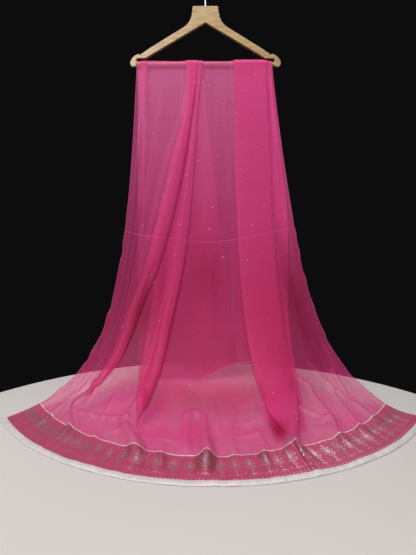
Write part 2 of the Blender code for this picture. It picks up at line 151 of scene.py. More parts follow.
# Rolled folds, which stand off the layer under them: the fold line that starts the stretch of cloth, then the
# places of the roll's two sides and its height in mm, each at every one of LEVELS
ROLLS = (
    ("ridge_left", (-0.27, -0.29, -0.465, -0.67, -0.79, -0.79, -0.80, -0.66, -0.63),
     (-0.09, -0.17, -0.265, -0.48, -0.67, -0.735, -0.775, -0.62, -0.59), (0.5, 3, 7, 12, 12, 9, 4, 0, 0)),
    ("ridge_back", (-0.09, -0.17, -0.25, -0.40, -0.47, -0.46, -0.44, -0.38, -0.34),
     (-0.02, -0.085, -0.13, -0.23, -0.36, -0.365, -0.365, -0.265, -0.255), (0.5, 2.5, 5, 9, 12, 9, 2, 0, 0)),
    ("pleat_left", (0.44, 0.435, 0.43, 0.42, 0.39, 0.335, 0.325, 0.325, 0.32),
     (0.94, 0.92, 0.90, 0.83, 0.74, 0.55, 0.44, 0.355, 0.345), (0, 0.6, 1.2, 2, 4, 9, 8, 6, 0)),
)

# Where the fold lines lie at the lower end of the back fall, in the order of FOLDS
BACK_PLACES = (
    -1.00, -0.97, -0.94, -0.92, -0.55, -0.50, 0.12, -0.80, -0.70, -0.76, 0.40, -0.30, 0.02, 0.20, 0.45, 0.50,
    0.93, 0.40, 0.62, 0.50, 0.97, 0.70, 0.90, 0.75, 0.975, 0.985, 1.00,
)

# Soft creases and crumples: from one place to another, half width and height in mm, and the layers that
# bunch there. Placed one by one.
CREASES = (
    # across0 share0 across1 share1 width height gathers
    (-0.430, 0.775, -0.385, 0.820, 9.0,  9.0, 1.2),
    (-0.385, 0.820, -0.330, 0.890, 9.0,  6.0, 0.4),
    (-0.430, 0.800, -0.430, 0.850, 5.0,  7.0, 1.6),
    (-0.430, 0.850, -0.560, 0.862, 5.0,  8.0, 1.4),
    (-0.560, 0.862, -0.720, 0.870, 4.0,  5.0, 0.7),
    (-0.360, 0.862, -0.470, 0.888, 4.0,  4.0, 0.8),
    (-0.125, 0.815, -0.108, 0.900, 11.0, 10.0, 1.2),
    (-0.125, 0.815, -0.080, 0.800, 8.0,  8.0, 1.0),
    (-0.080, 0.800, -0.035, 0.812, 7.0,  8.0, 1.0),
    (-0.030, 0.807, -0.020, 0.847, 6.0,  9.0, 1.5),
    (-0.020, 0.847, -0.055, 0.867, 5.0,  7.0, 1.3),
    (-0.055, 0.867, -0.025, 0.892, 5.0,  6.0, 1.2),
    (0.160,  0.790,  0.080, 0.870, 3.0,  6.0, 1.0),
    (0.020,  0.850,  0.270, 0.868, 20.0, 2.0, 0.6),
    (-0.300, 0.870, -0.150, 0.880, 18.0, 2.0, 0.6),
    (0.335,  0.800,  0.330, 0.890, 8.0, -3.0, 1.4),
    (0.640,  0.743,  0.680, 0.785, 4.0,  5.0, 0.9),
    (0.680,  0.780,  0.600, 0.890, 5.0,  8.0, 0.9),
    (0.520,  0.812,  0.620, 0.885, 5.0,  7.0, 0.9),
    (0.440,  0.850,  0.660, 0.880, 5.0,  5.0, 0.7),
    (0.900,  0.777,  0.870, 0.830, 4.0,  5.0, 0.7),
    (0.780,  0.740,  0.840, 0.880, 5.0,  6.0, 0.6),
    (-0.690, 0.827, -0.800, 0.795, 8.0,  5.0, 0.7),
    (-0.860, 0.780, -0.820, 0.890, 5.0,  5.0, 0.5),
    (-0.720, 0.770, -0.740, 0.850, 8.0,  5.0, 0.6),
    (-0.600, 0.800, -0.560, 0.890, 5.0,  4.0, 0.5),
    (0.020,  0.770,  0.050, 0.860, 8.0,  3.0, 0.3),
    (-0.250, 0.790, -0.220, 0.885, 7.0,  4.0, 0.5),
    (0.200,  0.830,  0.230, 0.900, 5.0,  4.0, 0.5),
    (0.100,  0.866,  0.260, 0.872, 4.0,  3.0, 0.5),
    (-0.300, 0.884, -0.120, 0.880, 4.0,  3.0, 0.5),
)
# Creases left by the packet, right across the cloth: share of the length on the left, in the centre and on
# the right, half width and height in mm, layers that bunch there
PACKING = (
    (0.423, 0.397, 0.412, 1.6, -1.2, 1.0),
    (0.190, 0.173, 0.185, 2.2, -0.6, 0.2),
    (0.640, 0.600, 0.620, 2.6,  0.8, 0.3),
)
# Areas made more opaque, as if loose layers lay together: place across, share, their reach across and along,
# and layers. Placed one by one; there is no such cloth in the mesh.
LOOSE = (
    (-0.085, 0.850, 0.035, 0.035, 0.5),
    (0.93,  0.36,  0.07, 0.16,  0.8),
    (0.98,  0.10,  0.05, 0.12,  0.6),
    (-0.02, 0.740, 0.30, 0.035, 1.1),
    (-0.25, 0.760, 0.10, 0.040, 0.5),
    (-0.55, 0.800, 0.10, 0.030, 0.3),
    (0.22,  0.780, 0.09, 0.030, 0.4),
    (0.45,  0.800, 0.07, 0.060, 0.3),
    (-0.02, 0.860, 0.16, 0.040, 0.4),
    (0.72,  0.860, 0.10, 0.040, 0.4),
)
# Painted shade: areas where the threads take a deeper colour and what shows through them is darker, standing in
# for the shade in and under the folds: place across, share, their reach, and strength.
# Placed one by one, not worked out from the light.
SHADED = (
    (0.320, 0.868, 0.028, 0.032, 1.0),
    (-0.66, 0.600, 0.065, 0.09, 0.75),
    (-0.52, 0.520, 0.040, 0.09, 0.3),
    (0.03,  0.470, 0.200, 0.070, 0.5),
    (0.88,  0.590, 0.070, 0.13, 0.75),
    (-0.12, 0.765, 0.100, 0.022, 0.55),
    (0.12,  0.765, 0.160, 0.026, 0.55),
    (-0.33, 0.770, 0.060, 0.030, 0.5),
)
# Small beads sewn on: place across and share of the length
BEADS = (
    (-0.80, 0.043), (-0.12, 0.043), (0.00, 0.040), (0.08, 0.047), (0.75, 0.027), (-0.73, 0.163), (-0.07, 0.213),
    (0.21, 0.203), (-0.89, 0.283), (-0.48, 0.270), (-0.24, 0.250), (-0.56, 0.307), (-0.80, 0.393), (-0.32, 0.367),
    (0.13, 0.320), (0.75, 0.340), (0.60, 0.377), (0.08, 0.370), (0.95, 0.380), (-0.37, 0.440), (-0.59, 0.503),
    (-0.58, 0.520), (0.26, 0.437), (0.48, 0.457), (-0.79, 0.650), (-0.47, 0.603), (-0.11, 0.733), (0.40, 0.780),
    (0.94, 0.827), (0.45, 0.860),
)


# ---------------------------------------------------------------- the cloth's place in space
def hermite(levels, values, share):
    """Smooth curves through the values at each level, read at each share: one row for each share."""
    levels = np.asarray(levels, float)
    values = np.asarray(values, float)
    slopes = np.gradient(values, levels, axis=0)
    share = np.atleast_1d(share)
    k = np.clip(np.searchsorted(levels, share) - 1, 0, len(levels) - 2)
    step = (levels[k + 1] - levels[k])[:, None]
    t = (share - levels[k])[:, None] / step
    start = (2 * t ** 3 - 3 * t ** 2 + 1) * values[k] + (t ** 3 - 2 * t ** 2 + t) * step * slopes[k]
    end = (3 * t ** 2 - 2 * t ** 3) * values[k + 1] + (t ** 3 - t ** 2) * step * slopes[k + 1]
    return start + end


def thread(across, shares):
    """Points, outward directions and length of one thread of the front fall."""
    foot = np.array([ON_BAR_CENTRE_X + ON_BAR_HALF_WIDTH * across, -ON_BAR_RADIUS])
    angle = HEM_HALF_ANGLE * across
    hem = np.array([HEM_CENTRE[0] + HEM_RADIUS * math.sin(angle), HEM_CENTRE[1] - HEM_RADIUS * math.cos(angle)])
    side = across * across
    hand = "left" if across < 0 else "right"
    centre, inner, edge = (np.array(THREAD_CURVES[name]) for name in ("centre", hand, hand + "_edge"))
    handles = centre + (inner - centre) * side + (edge - inner) * side ** 3
    t = np.linspace(0.0, 1.0, 401)
    first, second, third = 4 * (1 - t) ** 3 * t, 6 * (1 - t) ** 2 * t ** 2, 4 * (1 - t) * t ** 3
    reach = first * handles[0] + second * handles[1] + third * handles[2] + t ** 4
    height = (1 - t) ** 4 + first * handles[3] + second * handles[4]
    plan = hem - foot
    length = float(np.hypot(*plan))
    plan, reach = plan / length, reach * length
    pressed = FLAT_RISE * (1.0 - side)
    height = np.maximum(0.0, height * BAR_HEIGHT - pressed) * BAR_HEIGHT / (BAR_HEIGHT - pressed)
    run = np.concatenate([[0.0], np.cumsum(np.hypot(np.diff(reach), np.diff(height)))])
    place = shares * run[-1]
    out, up = np.interp(place, run, reach), np.interp(place, run, height)
    rise = np.interp(place + 0.004, run, height) - np.interp(place - 0.004, run, height)
    ahead = np.interp(place + 0.004, run, reach) - np.interp(place - 0.004, run, reach)
    size = np.maximum(np.hypot(rise, ahead), 1e-9)
    turn = np.minimum(1.0, shares / 0.3)[:, None]
    facing = plan * turn + np.array([0.0, -1.0]) * (1.0 - turn)
    facing /= np.hypot(facing[:, 0], facing[:, 1])[:, None]
    points = np.column_stack([foot[0] + plan[0] * out, foot[1] + plan[1] * out, FLOOR_Z + up])
    outward = np.column_stack([facing * (-rise / size)[:, None], ahead / size])
    return points, outward, run[-1]


THREADS = np.linspace(-1.0, 1.0, 321)
SHARES = np.linspace(0.0, 1.0, 501)
FALL = [thread(a, SHARES) for a in THREADS]
FALL_POINTS = np.array([f[0] for f in FALL])
FALL_OUTWARD = np.array([f[1] for f in FALL])
FALL_LENGTH = np.array([f[2] for f in FALL])


def on_front(across, share, depth):
    """Points of the front fall; depth is measured out of the cloth."""
    x = (np.clip(across, -1.0, 1.0) + 1.0) / 2.0 * (len(THREADS) - 1)
    y = np.clip(share, 0.0, 1.0) * (len(SHARES) - 1)
    i = np.minimum(x.astype(int), len(THREADS) - 2)
    j = np.minimum(y.astype(int), len(SHARES) - 2)
    u, v = (x - i)[..., None], (y - j)[..., None]

    def read(grid):
        return (grid[i, j] * (1 - u) * (1 - v) + grid[i + 1, j] * u * (1 - v)
                + grid[i, j + 1] * (1 - u) * v + grid[i + 1, j + 1] * u * v)

    return read(FALL_POINTS) + read(FALL_OUTWARD) * np.asarray(depth)[..., None]


def noise(x, y, seed):
    """Smooth noise from -1 to 1."""
    table = np.random.RandomState(seed).uniform(-1.0, 1.0, (64, 64))
    i, j = np.floor(x).astype(int), np.floor(y).astype(int)
    u, v = x - i, y - j
    u, v = u * u * (3 - 2 * u), v * v * (3 - 2 * v)

    def read(a, b):
        return table[a % 64, b % 64]

    return (read(i, j) * (1 - u) * (1 - v) + read(i + 1, j) * u * (1 - v)
            + read(i, j + 1) * (1 - u) * v + read(i + 1, j + 1) * u * v)


def kept(layers, on, share):
    """Layers under a fold line, fading out where the fold has opened."""
    fade = np.clip((1.3 * on - share) / (0.6 * on), 0.0, 1.0)
    return np.where(on < 1.0, layers * fade * fade * (3 - 2 * fade), layers)


def folded(places, shares):
    """Where each column of the cut lies across the fall, and the layers under it. shares has the grid's shape."""
    across = np.zeros_like(shares)
    layers = np.zeros_like(shares)
    k = np.clip(np.searchsorted(MARKS, places + 1e-9) - 1, 0, len(FOLDS) - 2)
    t = (places - MARKS[k]) / (MARKS[k + 1] - MARKS[k])
    ease = t * t * (3 - 2 * t)
    columns = np.arange(len(places))
    lines = np.array([fold[4] for fold in FOLDS]).T
    turns = []
    for m in np.nonzero(UNDER != OVER)[0]:
        near = np.nonzero(np.abs(places - MARKS[m]) < FOLD_ROUNDING)[0]
        turns.append((m, near, np.sin((places[near] - MARKS[m]) / FOLD_ROUNDING * math.pi / 2)))
    for row, share in enumerate(shares):
        at = hermite(LEVELS, lines, share)
        across[row] = at[columns, k] * (1 - t) + at[columns, k + 1] * t
        before, after = kept(OVER[k], KEPT[k], share), kept(UNDER[k + 1], KEPT[k + 1], share)
        here = before * (1 - ease) + after * ease
        for m, near, turn in turns:
            low, high = kept(UNDER[m], KEPT[m], share[near]), kept(OVER[m], KEPT[m], share[near])
            here[near] = (low + high) / 2 + (high - low) / 2 * turn
        layers[row] = here
    return across, layers


def bump(distance, width):
    return np.exp(-(distance / width) ** 2)


def crease_gaps(across, shares, length):
    """For each of CREASES: its row, how far each point of the cloth is from it, and its strength there."""
    half = np.interp(shares, LEVELS, HALF_WIDTHS)
    for crease in CREASES:
        a0, s0, a1, s1 = crease[:4]
        dx, dy = (a1 - a0) * half, (s1 - s0) * length
        px, py = (across - a0) * half, (shares - s0) * length
        t = np.clip((px * dx + py * dy) / (dx * dx + dy * dy), 0.0, 1.0)
        yield crease, np.hypot(px - t * dx, py - t * dy), np.sin(math.pi * (0.2 + 0.6 * t))


def packing(places, across, shares, line, length):
    """Strength of one packing crease at each point of the cloth."""
    left, centre, right, width = line[:4]
    at = centre + (np.where(places < CUT_WIDTH / 2, left, right) - centre) * across ** 2
    at = at + 0.003 * noise(places * 7, shares * 0, 9)
    return bump((shares - at) * length, width / 1000) * (0.6 + 0.4 * noise(places * 16, shares * 0 + 2, 11))


def gathered(places, shares):
    """Layers added to the opacity of the cloth, over the single layer: along creases, in LOOSE and on the floor."""
    across = folded(places, shares)[0]
    spread = 2.0 * places / CUT_WIDTH - 1.0
    length = np.interp(spread, THREADS, FALL_LENGTH)
    total = np.zeros_like(shares)
    for crease, gap, along in crease_gaps(across, shares, length):
        total = np.maximum(total, crease[6] * bump(gap, 1.3 * crease[4] / 1000) * along)
    for line in PACKING:
        total += line[5] * packing(places, across, shares, line, length)
    for a0, s0, reach, length_reach, layers in LOOSE:
        total += layers * bump(across - a0, reach) * bump(shares - s0, length_reach)
    lying = np.clip((shares - 0.70) / 0.12, 0.0, 1.0)
    patches = 0.15 + 0.55 * noise(places * 15, shares * 11, 31) + 0.25 * noise(places * 40, shares * 30, 32)
    total += lying * np.maximum(0.0, patches)
    total += 0.30 * lying * np.maximum(0.0, noise(places * 12 + 7, shares * 95, 15))
    return total


def shaded(places, shares):
    """Strength of the painted shade set by SHADED, from 0 to 1."""
    across = folded(places, shares)[0]
    total = np.zeros_like(shares)
    for a0, s0, reach, length_reach, strength in SHADED:
        total += strength * bump(across - a0, reach) * bump(shares - s0, length_reach)
    return np.minimum(total, 1.0)


def relief(places, across, shares):
    """Height of the cloth over its folded form: ridges, crumples, packing creases and soft unevenness."""
    total = np.zeros_like(shares)
    spread = 2.0 * places / CUT_WIDTH - 1.0
    flat = np.minimum(1.0, (1.0 - shares) / 0.03)
    wander = 0.006 * noise(places * 9 + 3, shares * 11, 5)
    for place, crest, height, width, up, down in RIDGES:
        reach = np.where(shares < crest, up, down)
        lean = (spread - place) * CUT_WIDTH / 2 + wander
        total += height / 1000 * np.exp(-np.abs(lean / (width / 1000)) ** 2.6) * bump(shares - crest, reach)
    total *= flat
    names = [fold[0] for fold in FOLDS]
    for name, left, right, heights in ROLLS:
        k = names.index(name)
        inside = (places >= MARKS[k]) & (places <= MARKS[k + 1])
        low, high, tall = (np.interp(shares, LEVELS, values) for values in (left, right, heights))
        t = np.clip((across - low) / (high - low), 0.0, 1.0)
        total += np.where(inside, tall / 1000 * np.sqrt(np.clip(1.0 - (2 * t - 1) ** 2, 0.0, 1.0)), 0.0)
    length = np.interp(spread, THREADS, FALL_LENGTH)
    for crease, gap, along in crease_gaps(across, shares, length):
        total += crease[5] / 1000 * bump(gap, crease[4] / 1000) * along * flat
    for line in PACKING:
        total += line[4] / 1000 * packing(places, across, shares, line, length)
    hang = np.clip((0.86 - shares) / 0.2, 0.0, 1.0) * np.clip(shares / 0.08, 0.0, 1.0)
    total += 0.0030 * hang * noise(places * 17, shares * 2.2, 1)
    total += 0.0016 * hang * noise(places * 38, shares * 3.0, 13)
    streaks = np.clip((-0.76 - spread) / 0.04, 0.0, 1.0)
    streaks = streaks * np.clip(shares / 0.1, 0.0, 1.0) * np.clip((0.75 - shares) / 0.3, 0.0, 1.0)
    total += 0.0016 * streaks * noise(places * 130, shares * 2.5, 14)
    total += 0.0005 * hang * noise(places * 70, shares * 9, 2)
    lying = np.clip((shares - 0.70) / 0.10, 0.0, 1.0) * flat
    total += 0.0022 * lying * (0.35 + noise(places * 22, shares * 16, 3))
    total += 0.0010 * lying * (0.35 + noise(places * 60, shares * 45, 4))
    total += 0.0007 * lying * noise(places * 12 + 7, shares * 95, 15)
    edge = np.minimum(spread + 1.0, 1.0 - spread) * CUT_WIDTH / 2
    pucker = bump(edge, 0.008) * np.clip((shares - 0.30) / 0.2, 0.0, 1.0) * flat
    total += 0.0022 * pucker * noise(places * 3, shares * 42, 6)
    return total


def front_grid(places, shares, extra=0.0):
    across, layers = folded(places, shares)
    room = np.interp(shares, LEVELS, LAYER_ROOM) * (1.0 + 0.22 * noise(shares * 8, layers * 1.7, 8))
    lift = relief(places, across, shares)
    floor = np.clip((shares - 0.8) / 0.1, 0.0, 1.0)
    lift = np.where(lift < 0, lift * (1 - floor), lift)
    depth = UNDERSIDE + layers * room + lift + extra
    return on_front(across, shares, depth)


def share_at(places, distance):
    """Share of the length at a distance up from the hem, for each column."""
    spread = 2.0 * places / CUT_WIDTH - 1.0
    return 1.0 - distance / np.interp(spread, THREADS, FALL_LENGTH)


def column_places(step):
    """Places along the cut width, close together where the cloth folds."""
    places = []
    for k in range(len(FOLDS) - 1):
        lines = zip(FOLDS[k][4], FOLDS[k + 1][4], HALF_WIDTHS)
        wide = max(abs(after - before) * half for before, after, half in lines)
        count = max(2, math.ceil(wide / step))
        places += list(MARKS[k] + (MARKS[k + 1] - MARKS[k]) * np.arange(count) / count)
    places.append(MARKS[-1])
    for m in np.nonzero(UNDER != OVER)[0]:
        places += [MARKS[m] + FOLD_ROUNDING * s for s in (-1, -0.5, -0.06, 0.06, 0.5, 1)]
    places = np.unique(np.round(places, 6))
    keep = [places[0]]
    for place in places[1:]:
        if place - keep[-1] > COLUMN_GAP:
            keep.append(place)
    return np.array(keep)


# ---------------------------------------------------------------- meshes
def add_object(name, mesh, material):
    mesh.materials.append(material)
    thing = bpy.data.objects.new(name, mesh)
    bpy.context.scene.collection.objects.link(thing)
    return thing


def grid_object(name, points, cut, material):
    """An open sheet through a grid of points, with the cut's sizes in metres as its UV map."""
    rows, columns = points.shape[:2]
    index = np.arange(rows * columns).reshape(rows, columns)
    faces = np.stack([index[:-1, :-1], index[1:, :-1], index[1:, 1:], index[:-1, 1:]], axis=-1).reshape(-1, 4)
    mesh = bpy.data.meshes.new(name)
    mesh.vertices.add(rows * columns)
    mesh.vertices.foreach_set("co", points.reshape(-1))
    mesh.loops.add(faces.size)
    mesh.loops.foreach_set("vertex_index", faces.reshape(-1).astype(np.int32))
    mesh.polygons.add(len(faces))
    mesh.polygons.foreach_set("loop_start", np.arange(0, faces.size, 4, dtype=np.int32))
    mesh.update(calc_edges=True)
    layer = mesh.uv_layers.new(name="cut")
    layer.data.foreach_set("uv", cut.reshape(-1, 2)[faces.reshape(-1)].reshape(-1))
    mesh.polygons.foreach_set("use_smooth", np.ones(len(faces), bool))
    mesh.validate()
    thing = add_object(name, mesh, material)
    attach(thing, "root")
    return thing


def cut_sizes(places, distance):
    """UV values: metres from the left selvedge, and metres up from the hem."""
    return np.stack(np.broadcast_arrays(places[None, :], distance), axis=-1)


def front_piece(name, distances, places, material, extra=0.0):
    """A strip of the front fall between distances up from the hem: each is one number or one for each column."""
    distances = [np.broadcast_to(d, places.shape) for d in distances]
    shares = np.array([share_at(places, d) for d in distances])
    points = front_grid(places, shares, extra)
    return grid_object(name, points, cut_sizes(places, np.array(distances)), material)


# ---------------------------------------------------------------- materials
def new_material(name):
    material = bpy.data.materials.new(name)
    material.use_nodes = True
    return material, material.node_tree, material.node_tree.nodes["Principled BSDF"]


def sheer(name, colour, cover, tint, oblique_tint, glow, sheen=0.15):
    """Thin woven cloth: threads that cover a share of the view, more of it where the cloth is seen edge on."""
    material, tree, threads = new_material(name)
    nodes, links = tree.nodes, tree.links
    threads.inputs["Base Color"].default_value = (*colour, 1.0)
    threads.inputs["Roughness"].default_value = 0.48
    threads.inputs["Specular IOR Level"].default_value = 0.45
    threads.inputs["Specular Tint"].default_value = (1.0, 0.72, 0.95, 1.0)
    threads.inputs["Sheen Weight"].default_value = sheen
    threads.inputs["Sheen Roughness"].default_value = 0.5
    threads.inputs["Sheen Tint"].default_value = (1.0, 0.75, 0.88, 1.0)
    lit = nodes.new("ShaderNodeBsdfTranslucent")
    lit.inputs["Color"].default_value = (*glow, 1.0)
    both = nodes.new("ShaderNodeMixShader")
    both.inputs["Fac"].default_value = 0.25
    links.new(threads.outputs["BSDF"], both.inputs[1])
    links.new(lit.outputs["BSDF"], both.inputs[2])
    view = nodes.new("ShaderNodeLayerWeight")
    view.inputs["Blend"].default_value = 0.5
    tints = nodes.new("ShaderNodeMix")
    tints.data_type = "RGBA"
    tints.inputs["A"].default_value = (*tint, 1.0)
    tints.inputs["B"].default_value = (*oblique_tint, 1.0)
    links.new(view.outputs["Facing"], tints.inputs["Factor"])
    # Painted shade: what shows through the holes is darkened where the sheet's shaded number is set.
    shade = nodes.new("ShaderNodeAttribute")
    shade.attribute_name = "shaded"
    passed = nodes.new("ShaderNodeMix")
    passed.data_type = "RGBA"
    links.new(shade.outputs["Fac"], passed.inputs["Factor"])
    links.new(tints.outputs["Result"], passed.inputs["A"])
    passed.inputs["B"].default_value = (0.55, 0.46, 0.50, 1.0)
    holes = nodes.new("ShaderNodeBsdfTransparent")
    links.new(passed.outputs["Result"], holes.inputs["Color"])
    cosine = nodes.new("ShaderNodeMath")
    cosine.operation = "SUBTRACT"
    cosine.inputs[0].default_value = 1.05
    links.new(view.outputs["Facing"], cosine.inputs[1])
    path = nodes.new("ShaderNodeMath")
    path.operation = "DIVIDE"
    path.inputs[0].default_value = 1.0
    links.new(cosine.outputs[0], path.inputs[1])
    bunched = nodes.new("ShaderNodeAttribute")
    bunched.attribute_name = "gathers"
    layers = nodes.new("ShaderNodeMath")
    layers.operation = "MULTIPLY_ADD"
    links.new(path.outputs[0], layers.inputs[0])
    links.new(bunched.outputs["Fac"], layers.inputs[1])
    links.new(path.outputs[0], layers.inputs[2])
    through = nodes.new("ShaderNodeMath")
    through.operation = "POWER"
    through.inputs[0].default_value = 1.0 - cover
    links.new(layers.outputs[0], through.inputs[1])
    mix = nodes.new("ShaderNodeMixShader")
    links.new(through.outputs[0], mix.inputs["Fac"])
    links.new(both.outputs[0], mix.inputs[1])
    links.new(holes.outputs[0], mix.inputs[2])
    links.new(mix.outputs[0], nodes["Material Output"].inputs["Surface"])
    return material


def paint_pale_light(material, pale, stops):
    """Painted light: mixes a paler colour into the threads along the cloth, for light falling on it. Stops are metres
    along the cloth and the share of the pale colour.
    """
    tree = material.node_tree
    nodes, links = tree.nodes, tree.links
    threads = nodes["Principled BSDF"]
    place = nodes.new("ShaderNodeUVMap")
    place.uv_map = "cut"
    split = nodes.new("ShaderNodeSeparateXYZ")
    links.new(place.outputs["UV"], split.inputs["Vector"])
    ramp = nodes.new("ShaderNodeValToRGB")
    base = np.array(threads.inputs["Base Color"].default_value[:3])
    elements = ramp.color_ramp.elements
    for k, (metres, share) in enumerate(stops):
        element = elements[k] if k < 2 else elements.new(metres)
        element.position = metres
        element.color = (*(base + (np.array(pale) - base) * share), 1.0)
    links.new(split.outputs["Y"], ramp.inputs["Fac"])
    links.new(ramp.outputs["Color"], threads.inputs["Base Color"])


def take_colour(tree, socket):
    """Moves the colour that the threads have, a plain one or a linked one, to a socket."""
    base = tree.nodes["Principled BSDF"].inputs["Base Color"]
    if base.is_linked:
        tree.links.new(base.links[0].from_socket, socket)
    else:
        socket.default_value = base.default_value


def turn(material, attribute, colour):
    """Turns the threads to another colour by a number that each point of the sheet has."""
    tree = material.node_tree
    nodes, links = tree.nodes, tree.links
    share = nodes.new("ShaderNodeAttribute")
    share.attribute_name = attribute
    both = nodes.new("ShaderNodeMix")
    both.data_type = "RGBA"
    take_colour(tree, both.inputs["A"])
    both.inputs["B"].default_value = (*colour, 1.0)
    links.new(share.outputs["Fac"], both.inputs["Factor"])
    links.new(both.outputs["Result"], nodes["Principled BSDF"].inputs["Base Color"])


def mark_points(thing, name, values):
    """A number for each point of a sheet, for its material to read."""
    marks = thing.data.attributes.new(name, "FLOAT", "POINT")
    marks.data.foreach_set("value", values.reshape(-1).astype(np.float32))


def plain(name, colour, roughness, metallic=0.0, sheen=0.0):
    material, _, shader = new_material(name)
    shader.inputs["Base Color"].default_value = (*colour, 1.0)
    shader.inputs["Roughness"].default_value = roughness
    shader.inputs["Metallic"].default_value = metallic
    shader.inputs["Sheen Weight"].default_value = sheen
    return material


def vary(material, reach, depth, bump_depth=0.0):
    """Uneven colour of the threads over patches of a size in metres, across and along the cut: uneven yarn, and on
    the satin painted shade of fine puckers.
    """
    tree = material.node_tree
    nodes, links = tree.nodes, tree.links
    threads = nodes["Principled BSDF"]
    place = nodes.new("ShaderNodeUVMap")
    place.uv_map = "cut"
    scale = nodes.new("ShaderNodeMapping")
    scale.inputs["Scale"].default_value = (1.0 / reach[0], 1.0 / reach[1], 1.0)
    yarn = nodes.new("ShaderNodeTexNoise")
    yarn.inputs["Scale"].default_value = 1.0
    yarn.inputs["Detail"].default_value = 3.0
    links.new(place.outputs["UV"], scale.inputs["Vector"])
    links.new(scale.outputs["Vector"], yarn.inputs["Vector"])
    shade = nodes.new("ShaderNodeMapRange")
    shade.inputs["From Min"].default_value = 0.3
    shade.inputs["From Max"].default_value = 0.7
    shade.inputs["To Min"].default_value = 1.0 - depth
    shade.inputs["To Max"].default_value = 1.0
    links.new(yarn.outputs["Fac"], shade.inputs["Value"])
    dye = nodes.new("ShaderNodeMix")
    dye.data_type = "RGBA"
    dye.blend_type = "MULTIPLY"
    dye.inputs["Factor"].default_value = 1.0
    take_colour(tree, dye.inputs["A"])
    links.new(shade.outputs["Result"], dye.inputs["B"])
    links.new(dye.outputs["Result"], threads.inputs["Base Color"])
    if bump_depth:
        surface = nodes.new("ShaderNodeBump")
        surface.inputs["Distance"].default_value = bump_depth
        links.new(yarn.outputs["Fac"], surface.inputs["Height"])
        links.new(surface.outputs["Normal"], threads.inputs["Normal"])


# Painted light, tuned: threads paler near the bar, for the sheen of the light from above, and paler on the
# train in front: metres up from the hem in front and down from the bar behind, and the pale share
FRONT_PAINTED_LIGHT = ((0.0, 0.38), (0.17, 0.38), (0.27, 0.0), (0.45, 0.0), (0.70, 0.50), (0.90, 0.65), (1.0, 0.7))
BACK_PAINTED_LIGHT = ((0.0, 1.0), (0.10, 0.60), (0.25, 0.31), (0.34, 0.22), (0.37, 0.06), (0.60, 0.0))
ROSE = (0.66, 0.034, 0.18)
ROSE_COVER = 0.38
ROSE_TINTS = (1.0, 0.88, 0.94), (0.98, 0.55, 0.70)
CHIFFON = sheer("chiffon_rose", ROSE, ROSE_COVER, *ROSE_TINTS, ROSE)
paint_pale_light(CHIFFON, (0.78, 0.095, 0.36), FRONT_PAINTED_LIGHT)
BACK_CHIFFON = sheer("chiffon_rose_back", ROSE, ROSE_COVER, *ROSE_TINTS, ROSE)
paint_pale_light(BACK_CHIFFON, (0.95, 0.66, 0.80), BACK_PAINTED_LIGHT)
BROCADE_TINTS = (1.0, 0.80, 0.86), (0.98, 0.50, 0.64)
BROCADE = sheer("brocade_ground", (0.54, 0.068, 0.165), 0.90, *BROCADE_TINTS, (0.5, 0.05, 0.13), 0.1)
# Painted shade: the brocade turns dark brown on the steep sides of its ridges.
turn(BROCADE, "flank_shade", (0.28, 0.058, 0.072))
# Painted shade: the chiffon turns deep crimson where SHADED is set.
turn(CHIFFON, "shaded", (0.52, 0.004, 0.07))
BRAID = plain("silver_braid", (0.98, 0.78, 0.86), 0.35, 0.2)
SATIN = plain("white_satin", (0.60, 0.565, 0.555), 0.45, 0.0, 0.15)
BACK_TRIM = plain("back_end_binding", (0.50, 0.22, 0.33), 0.5, 0.0, 0.2)
ROLLED = plain("rolled_selvedge", (0.46, 0.05, 0.15), 0.7)
ZARI = plain("silver_zari", (0.62, 0.47, 0.50), 0.42, 0.80)
BEAD = plain("bead_silver", (0.92, 0.80, 0.86), 0.3, 0.2)
vary(CHIFFON, (0.040, 0.0040), 0.10)
vary(BACK_CHIFFON, (0.040, 0.0040), 0.10)
vary(BROCADE, (0.0012, 0.0030), 0.18, 0.0002)
# Painted shade: on the satin, darker streaks 3 mm across and 12 mm long stand for the shade of fine puckers.
vary(SATIN, (0.0030, 0.0120), 0.22, 0.0006)
vary(BACK_TRIM, (0.0030, 0.0060), 0.2, 0.0003)
vary(BRAID, (0.0080, 0.0020), 0.5, 0.0003)
vary(ROLLED, (0.0020, 0.0040), 0.25)


def wood():
    material, tree, shader = new_material("beech_lacquered")
    nodes, links = tree.nodes, tree.links
    place = nodes.new("ShaderNodeTexCoord")
    scale = nodes.new("ShaderNodeMapping")
    scale.inputs["Scale"].default_value = (14.0, 60.0, 60.0)
    grain = nodes.new("ShaderNodeTexNoise")
    grain.inputs["Scale"].default_value = 2.2
    grain.inputs["Detail"].default_value = 5.0
    colour = nodes.new("ShaderNodeValToRGB")
    colour.color_ramp.elements[0].position = 0.35
    colour.color_ramp.elements[0].color = (0.235, 0.148, 0.060, 1.0)
    colour.color_ramp.elements[1].position = 0.68
    colour.color_ramp.elements[1].color = (0.345, 0.230, 0.105, 1.0)
    links.new(place.outputs["Object"], scale.inputs["Vector"])
    links.new(scale.outputs["Vector"], grain.inputs["Vector"])
    links.new(grain.outputs["Fac"], colour.inputs["Fac"])
    links.new(colour.outputs["Color"], shader.inputs["Base Color"])
    shader.inputs["Roughness"].default_value = 0.38
    shader.inputs["Coat Weight"].default_value = 0.25
    shader.inputs["Coat Roughness"].default_value = 0.25
    return material


def dress_hanger():
    timber = wood()
    steel = plain("hook_steel", (0.42, 0.42, 0.43), 0.38, 1.0)
    for name, material in (("hanger_body", timber), ("hanger_bar", timber), ("hanger_hook", steel)):
        node = bpy.data.objects[name]
        for slot in node.material_slots:
            slot.material = material


# ---------------------------------------------------------------- the pieces
PLACES = column_places(COLUMN_STEP)
ACROSS_CUT = 2.0 * PLACES / CUT_WIDTH - 1.0
FRONT_LENGTH = np.interp(ACROSS_CUT, THREADS, FALL_LENGTH)


